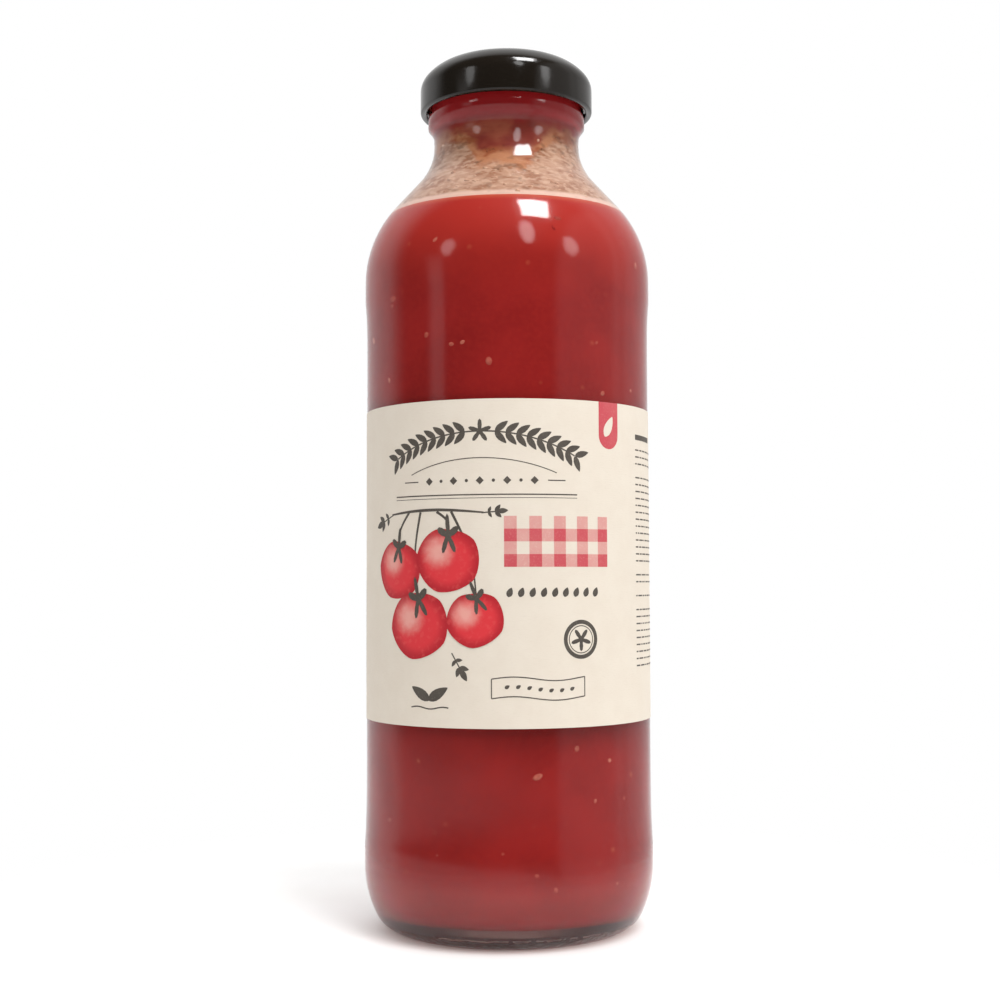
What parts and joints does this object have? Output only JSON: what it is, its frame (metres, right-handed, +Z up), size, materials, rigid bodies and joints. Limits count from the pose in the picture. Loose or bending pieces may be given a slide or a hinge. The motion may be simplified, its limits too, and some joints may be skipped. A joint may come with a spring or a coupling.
{
  "type": "jar of crushed tomatoes",
  "caption": "Tall clear glass food jar filled with crushed tomatoes, with a rounded shoulder, a narrow neck, a glossy black twist-off lid and a wrapped paper label.",
  "frame": {"origin": "middle of the ring that the jar stands on", "axes": "+Z up along the jar's axis, -Y out through the middle of the label, +X to the right when the label is looked at"},
  "size_m": [0.0834, 0.0834, 0.2521],
  "materials": {
    "clear_glass": "clear, smooth, fire-polished",
    "tomato_sauce": "wet, finely pulpy",
    "label_paper": "uncoated cream paper, printed in a few flat colours",
    "black_lacquer": "glossy black lacquer on thin steel"
  },
  "bodies": {
    "root": {"glass_jar": "clear_glass", "crushed_tomatoes": "tomato_sauce", "label": "label_paper", "lid": "black_lacquer"}
  },
  "joints": []
}
